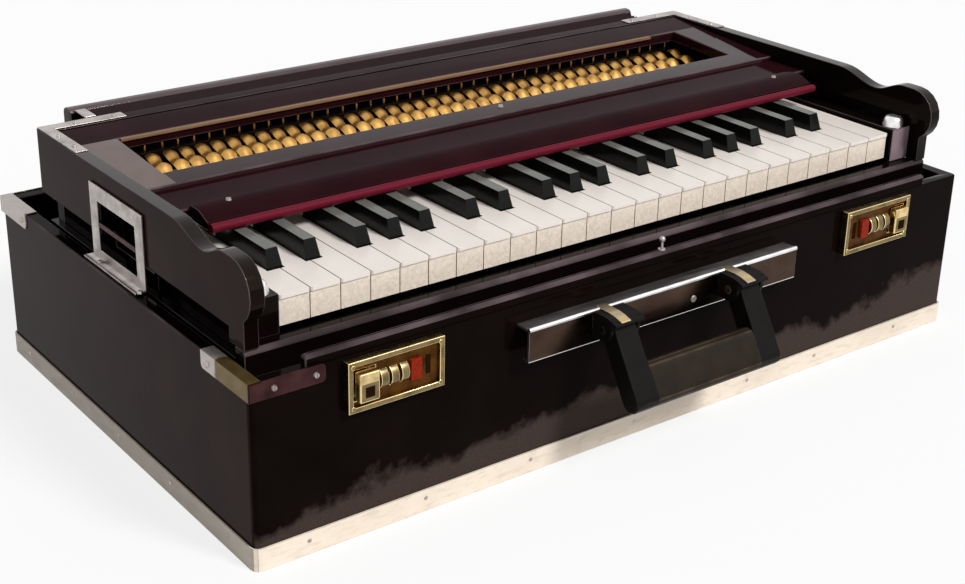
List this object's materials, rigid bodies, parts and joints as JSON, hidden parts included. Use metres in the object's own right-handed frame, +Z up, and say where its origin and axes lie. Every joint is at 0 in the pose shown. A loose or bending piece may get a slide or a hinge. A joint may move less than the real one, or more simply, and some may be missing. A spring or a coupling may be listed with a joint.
{
  "type": "indian harmonium",
  "caption": "Folding suitcase harmonium: a lacquered tray case with a raised keyboard unit, scrolled cheeks, reed window, rear bellows, carrying handle and two latches",
  "frame": {"origin": "centre of the flat underside of the case", "axes": "+X along the keyboard from bass to treble, +Y from the player towards the bellows, +Z up"},
  "size_m": [0.625, 0.4197, 0.189],
  "materials": {
    "black_lacquer": "high gloss lacquer, nearly black with a maroon tint",
    "brown_lacquer": "gloss lacquer, dark maroon brown",
    "cream_band": "satin cream",
    "nickel": "dull nickel plate",
    "chrome": "polished",
    "brass": "lacquered brass, slightly worn",
    "black_plastic": "semi-gloss black",
    "white_keys": "polished cream celluloid",
    "black_keys": "polished black",
    "fold_cloth": "dark red folded card and cloth",
    "red_felt": "felt bead in dark red",
    "red_enamel": "gloss red"
  },
  "bodies": {
    "case": {"case_shell": "black_lacquer", "base_trim": "cream_band", "left_bracket": "nickel", "right_bracket": "nickel", "handle_rail": "chrome", "left_latch": "brass", "right_latch": "brass"},
    "keyboard_unit": {"wind_chest": "brown_lacquer", "left_side_panel": "black_lacquer", "right_side_panel": "black_lacquer", "top_frame": "brown_lacquer", "fall_board": "brown_lacquer", "key_springs": "brass"},
    "carrying_handle": {"handle": "black_plastic"},
    "bellows": {"bellows_board": "black_lacquer", "bellows_folds": "fold_cloth"},
    "left_button": {"left_latch_button": "brass"},
    "right_button": {"right_latch_button": "brass"},
    "key_c3": {"key_c3": "white_keys"},
    "key_c_sharp3": {"key_c_sharp3": "black_keys"},
    "key_d3": {"key_d3": "white_keys"},
    "key_d_sharp3": {"key_d_sharp3": "black_keys"},
    "key_e3": {"key_e3": "white_keys"},
    "key_f3": {"key_f3": "white_keys"},
    "key_f_sharp3": {"key_f_sharp3": "black_keys"},
    "key_g3": {"key_g3": "white_keys"},
    "key_g_sharp3": {"key_g_sharp3": "black_keys"},
    "key_a3": {"key_a3": "white_keys"},
    "key_a_sharp3": {"key_a_sharp3": "black_keys"},
    "key_b3": {"key_b3": "white_keys"},
    "key_c4": {"key_c4": "white_keys"},
    "key_c_sharp4": {"key_c_sharp4": "black_keys"},
    "key_d4": {"key_d4": "white_keys"},
    "key_d_sharp4": {"key_d_sharp4": "black_keys"},
    "key_e4": {"key_e4": "white_keys"},
    "key_f4": {"key_f4": "white_keys"},
    "key_f_sharp4": {"key_f_sharp4": "black_keys"},
    "key_g4": {"key_g4": "white_keys"},
    "key_g_sharp4": {"key_g_sharp4": "black_keys"},
    "key_a4": {"key_a4": "white_keys"},
    "key_a_sharp4": {"key_a_sharp4": "black_keys"},
    "key_b4": {"key_b4": "white_keys"},
    "key_c5": {"key_c5": "white_keys"},
    "key_c_sharp5": {"key_c_sharp5": "black_keys"},
    "key_d5": {"key_d5": "white_keys"},
    "key_d_sharp5": {"key_d_sharp5": "black_keys"},
    "key_e5": {"key_e5": "white_keys"},
    "key_f5": {"key_f5": "white_keys"},
    "key_f_sharp5": {"key_f_sharp5": "black_keys"},
    "key_g5": {"key_g5": "white_keys"},
    "key_g_sharp5": {"key_g_sharp5": "black_keys"},
    "key_a5": {"key_a5": "white_keys"},
    "key_a_sharp5": {"key_a_sharp5": "black_keys"},
    "key_b5": {"key_b5": "white_keys"},
    "key_c6": {"key_c6": "white_keys"},
    "key_c_sharp6": {"key_c_sharp6": "black_keys"},
    "key_d6": {"key_d6": "white_keys"},
    "key_d_sharp6": {"key_d_sharp6": "black_keys"},
    "key_e6": {"key_e6": "white_keys"},
    "key_f6": {"key_f6": "white_keys"}
  },
  "joints": [
    {"name": "unit_lift", "type": "slide", "parent": "case", "child": "keyboard_unit", "axis": [0, 0, 1], "range_m": [-0.06, 0]},
    {"name": "handle_swing", "type": "hinge", "parent": "case", "child": "carrying_handle", "pos_m": [0, -0.204, 0.1015], "axis": [-1, 0, 0], "range_deg": [-31, 48]},
    {"name": "bellows_pump", "type": "hinge", "parent": "keyboard_unit", "child": "bellows", "pos_m": [0, 0.149, 0.137], "axis": [-1, 0, 0], "range_deg": [0, 32], "deforming": ["bellows_folds"]},
    {"name": "left_latch_press", "type": "slide", "parent": "case", "child": "left_button", "axis": [0, 1, 0], "range_m": [0, 0.0025], "stiffness_N_per_m": 400, "springref_m": -0.004},
    {"name": "right_latch_press", "type": "slide", "parent": "case", "child": "right_button", "axis": [0, 1, 0], "range_m": [0, 0.0025], "stiffness_N_per_m": 400, "springref_m": -0.004},
    {"name": "key_c3_press", "type": "hinge", "parent": "keyboard_unit", "child": "key_c3", "pos_m": [-0.258, 0.078, 0.144], "axis": [1, 0, 0], "range_deg": [0, 2.2], "stiffness_Nm_per_rad": 2, "springref_deg": -5.73},
    {"name": "key_c_sharp3_press", "type": "hinge", "parent": "keyboard_unit", "child": "key_c_sharp3", "pos_m": [-0.25005, 0.078, 0.144], "axis": [1, 0, 0], "range_deg": [0, 2.2], "stiffness_Nm_per_rad": 2, "springref_deg": -5.73},
    {"name": "key_d3_press", "type": "hinge", "parent": "keyboard_unit", "child": "key_d3", "pos_m": [-0.2365, 0.078, 0.144], "axis": [1, 0, 0], "range_deg": [0, 2.2], "stiffness_Nm_per_rad": 2, "springref_deg": -5.73},
    {"name": "key_d_sharp3_press", "type": "hinge", "parent": "keyboard_unit", "child": "key_d_sharp3", "pos_m": [-0.22295, 0.078, 0.144], "axis": [1, 0, 0], "range_deg": [0, 2.2], "stiffness_Nm_per_rad": 2, "springref_deg": -5.73},
    {"name": "key_e3_press", "type": "hinge", "parent": "keyboard_unit", "child": "key_e3", "pos_m": [-0.215, 0.078, 0.144], "axis": [1, 0, 0], "range_deg": [0, 2.2], "stiffness_Nm_per_rad": 2, "springref_deg": -5.73},
    {"name": "key_f3_press", "type": "hinge", "parent": "keyboard_unit", "child": "key_f3", "pos_m": [-0.1935, 0.078, 0.144], "axis": [1, 0, 0], "range_deg": [0, 2.2], "stiffness_Nm_per_rad": 2, "springref_deg": -5.73},
    {"name": "key_f_sharp3_press", "type": "hinge", "parent": "keyboard_unit", "child": "key_f_sharp3", "pos_m": [-0.18576, 0.078, 0.144], "axis": [1, 0, 0], "range_deg": [0, 2.2], "stiffness_Nm_per_rad": 2, "springref_deg": -5.73},
    {"name": "key_g3_press", "type": "hinge", "parent": "keyboard_unit", "child": "key_g3", "pos_m": [-0.172, 0.078, 0.144], "axis": [1, 0, 0], "range_deg": [0, 2.2], "stiffness_Nm_per_rad": 2, "springref_deg": -5.73},
    {"name": "key_g_sharp3_press", "type": "hinge", "parent": "keyboard_unit", "child": "key_g_sharp3", "pos_m": [-0.16125, 0.078, 0.144], "axis": [1, 0, 0], "range_deg": [0, 2.2], "stiffness_Nm_per_rad": 2, "springref_deg": -5.73},
    {"name": "key_a3_press", "type": "hinge", "parent": "keyboard_unit", "child": "key_a3", "pos_m": [-0.1505, 0.078, 0.144], "axis": [1, 0, 0], "range_deg": [0, 2.2], "stiffness_Nm_per_rad": 2, "springref_deg": -5.73},
    {"name": "key_a_sharp3_press", "type": "hinge", "parent": "keyboard_unit", "child": "key_a_sharp3", "pos_m": [-0.13674, 0.078, 0.144], "axis": [1, 0, 0], "range_deg": [0, 2.2], "stiffness_Nm_per_rad": 2, "springref_deg": -5.73},
    {"name": "key_b3_press", "type": "hinge", "parent": "keyboard_unit", "child": "key_b3", "pos_m": [-0.129, 0.078, 0.144], "axis": [1, 0, 0], "range_deg": [0, 2.2], "stiffness_Nm_per_rad": 2, "springref_deg": -5.73},
    {"name": "key_c4_press", "type": "hinge", "parent": "keyboard_unit", "child": "key_c4", "pos_m": [-0.1075, 0.078, 0.144], "axis": [1, 0, 0], "range_deg": [0, 2.2], "stiffness_Nm_per_rad": 2, "springref_deg": -5.73},
    {"name": "key_c_sharp4_press", "type": "hinge", "parent": "keyboard_unit", "child": "key_c_sharp4", "pos_m": [-0.09954, 0.078, 0.144], "axis": [1, 0, 0], "range_deg": [0, 2.2], "stiffness_Nm_per_rad": 2, "springref_deg": -5.73},
    {"name": "key_d4_press", "type": "hinge", "parent": "keyboard_unit", "child": "key_d4", "pos_m": [-0.086, 0.078, 0.144], "axis": [1, 0, 0], "range_deg": [0, 2.2], "stiffness_Nm_per_rad": 2, "springref_deg": -5.73},
    {"name": "key_d_sharp4_press", "type": "hinge", "parent": "keyboard_unit", "child": "key_d_sharp4", "pos_m": [-0.07246, 0.078, 0.144], "axis": [1, 0, 0], "range_deg": [0, 2.2], "stiffness_Nm_per_rad": 2, "springref_deg": -5.73},
    {"name": "key_e4_press", "type": "hinge", "parent": "keyboard_unit", "child": "key_e4", "pos_m": [-0.0645, 0.078, 0.144], "axis": [1, 0, 0], "range_deg": [0, 2.2], "stiffness_Nm_per_rad": 2, "springref_deg": -5.73},
    {"name": "key_f4_press", "type": "hinge", "parent": "keyboard_unit", "child": "key_f4", "pos_m": [-0.043, 0.078, 0.144], "axis": [1, 0, 0], "range_deg": [0, 2.2], "stiffness_Nm_per_rad": 2, "springref_deg": -5.73},
    {"name": "key_f_sharp4_press", "type": "hinge", "parent": "keyboard_unit", "child": "key_f_sharp4", "pos_m": [-0.03526, 0.078, 0.144], "axis": [1, 0, 0], "range_deg": [0, 2.2], "stiffness_Nm_per_rad": 2, "springref_deg": -5.73},
    {"name": "key_g4_press", "type": "hinge", "parent": "keyboard_unit", "child": "key_g4", "pos_m": [-0.0215, 0.078, 0.144], "axis": [1, 0, 0], "range_deg": [0, 2.2], "stiffness_Nm_per_rad": 2, "springref_deg": -5.73},
    {"name": "key_g_sharp4_press", "type": "hinge", "parent": "keyboard_unit", "child": "key_g_sharp4", "pos_m": [-0.01075, 0.078, 0.144], "axis": [1, 0, 0], "range_deg": [0, 2.2], "stiffness_Nm_per_rad": 2, "springref_deg": -5.73},
    {"name": "key_a4_press", "type": "hinge", "parent": "keyboard_unit", "child": "key_a4", "pos_m": [0, 0.078, 0.144], "axis": [1, 0, 0], "range_deg": [0, 2.2], "stiffness_Nm_per_rad": 2, "springref_deg": -5.73},
    {"name": "key_a_sharp4_press", "type": "hinge", "parent": "keyboard_unit", "child": "key_a_sharp4", "pos_m": [0.01376, 0.078, 0.144], "axis": [1, 0, 0], "range_deg": [0, 2.2], "stiffness_Nm_per_rad": 2, "springref_deg": -5.73},
    {"name": "key_b4_press", "type": "hinge", "parent": "keyboard_unit", "child": "key_b4", "pos_m": [0.0215, 0.078, 0.144], "axis": [1, 0, 0], "range_deg": [0, 2.2], "stiffness_Nm_per_rad": 2, "springref_deg": -5.73},
    {"name": "key_c5_press", "type": "hinge", "parent": "keyboard_unit", "child": "key_c5", "pos_m": [0.043, 0.078, 0.144], "axis": [1, 0, 0], "range_deg": [0, 2.2], "stiffness_Nm_per_rad": 2, "springref_deg": -5.73},
    {"name": "key_c_sharp5_press", "type": "hinge", "parent": "keyboard_unit", "child": "key_c_sharp5", "pos_m": [0.05096, 0.078, 0.144], "axis": [1, 0, 0], "range_deg": [0, 2.2], "stiffness_Nm_per_rad": 2, "springref_deg": -5.73},
    {"name": "key_d5_press", "type": "hinge", "parent": "keyboard_unit", "child": "key_d5", "pos_m": [0.0645, 0.078, 0.144], "axis": [1, 0, 0], "range_deg": [0, 2.2], "stiffness_Nm_per_rad": 2, "springref_deg": -5.73},
    {"name": "key_d_sharp5_press", "type": "hinge", "parent": "keyboard_unit", "child": "key_d_sharp5", "pos_m": [0.07805, 0.078, 0.144], "axis": [1, 0, 0], "range_deg": [0, 2.2], "stiffness_Nm_per_rad": 2, "springref_deg": -5.73},
    {"name": "key_e5_press", "type": "hinge", "parent": "keyboard_unit", "child": "key_e5", "pos_m": [0.086, 0.078, 0.144], "axis": [1, 0, 0], "range_deg": [0, 2.2], "stiffness_Nm_per_rad": 2, "springref_deg": -5.73},
    {"name": "key_f5_press", "type": "hinge", "parent": "keyboard_unit", "child": "key_f5", "pos_m": [0.1075, 0.078, 0.144], "axis": [1, 0, 0], "range_deg": [0, 2.2], "stiffness_Nm_per_rad": 2, "springref_deg": -5.73},
    {"name": "key_f_sharp5_press", "type": "hinge", "parent": "keyboard_unit", "child": "key_f_sharp5", "pos_m": [0.11524, 0.078, 0.144], "axis": [1, 0, 0], "range_deg": [0, 2.2], "stiffness_Nm_per_rad": 2, "springref_deg": -5.73},
    {"name": "key_g5_press", "type": "hinge", "parent": "keyboard_unit", "child": "key_g5", "pos_m": [0.129, 0.078, 0.144], "axis": [1, 0, 0], "range_deg": [0, 2.2], "stiffness_Nm_per_rad": 2, "springref_deg": -5.73},
    {"name": "key_g_sharp5_press", "type": "hinge", "parent": "keyboard_unit", "child": "key_g_sharp5", "pos_m": [0.13975, 0.078, 0.144], "axis": [1, 0, 0], "range_deg": [0, 2.2], "stiffness_Nm_per_rad": 2, "springref_deg": -5.73},
    {"name": "key_a5_press", "type": "hinge", "parent": "keyboard_unit", "child": "key_a5", "pos_m": [0.1505, 0.078, 0.144], "axis": [1, 0, 0], "range_deg": [0, 2.2], "stiffness_Nm_per_rad": 2, "springref_deg": -5.73},
    {"name": "key_a_sharp5_press", "type": "hinge", "parent": "keyboard_unit", "child": "key_a_sharp5", "pos_m": [0.16426, 0.078, 0.144], "axis": [1, 0, 0], "range_deg": [0, 2.2], "stiffness_Nm_per_rad": 2, "springref_deg": -5.73},
    {"name": "key_b5_press", "type": "hinge", "parent": "keyboard_unit", "child": "key_b5", "pos_m": [0.172, 0.078, 0.144], "axis": [1, 0, 0], "range_deg": [0, 2.2], "stiffness_Nm_per_rad": 2, "springref_deg": -5.73},
    {"name": "key_c6_press", "type": "hinge", "parent": "keyboard_unit", "child": "key_c6", "pos_m": [0.1935, 0.078, 0.144], "axis": [1, 0, 0], "range_deg": [0, 2.2], "stiffness_Nm_per_rad": 2, "springref_deg": -5.73},
    {"name": "key_c_sharp6_press", "type": "hinge", "parent": "keyboard_unit", "child": "key_c_sharp6", "pos_m": [0.20145, 0.078, 0.144], "axis": [1, 0, 0], "range_deg": [0, 2.2], "stiffness_Nm_per_rad": 2, "springref_deg": -5.73},
    {"name": "key_d6_press", "type": "hinge", "parent": "keyboard_unit", "child": "key_d6", "pos_m": [0.215, 0.078, 0.144], "axis": [1, 0, 0], "range_deg": [0, 2.2], "stiffness_Nm_per_rad": 2, "springref_deg": -5.73},
    {"name": "key_d_sharp6_press", "type": "hinge", "parent": "keyboard_unit", "child": "key_d_sharp6", "pos_m": [0.22854, 0.078, 0.144], "axis": [1, 0, 0], "range_deg": [0, 2.2], "stiffness_Nm_per_rad": 2, "springref_deg": -5.73},
    {"name": "key_e6_press", "type": "hinge", "parent": "keyboard_unit", "child": "key_e6", "pos_m": [0.2365, 0.078, 0.144], "axis": [1, 0, 0], "range_deg": [0, 2.2], "stiffness_Nm_per_rad": 2, "springref_deg": -5.73},
    {"name": "key_f6_press", "type": "hinge", "parent": "keyboard_unit", "child": "key_f6", "pos_m": [0.258, 0.078, 0.144], "axis": [1, 0, 0], "range_deg": [0, 2.2], "stiffness_Nm_per_rad": 2, "springref_deg": -5.73}
  ]
}
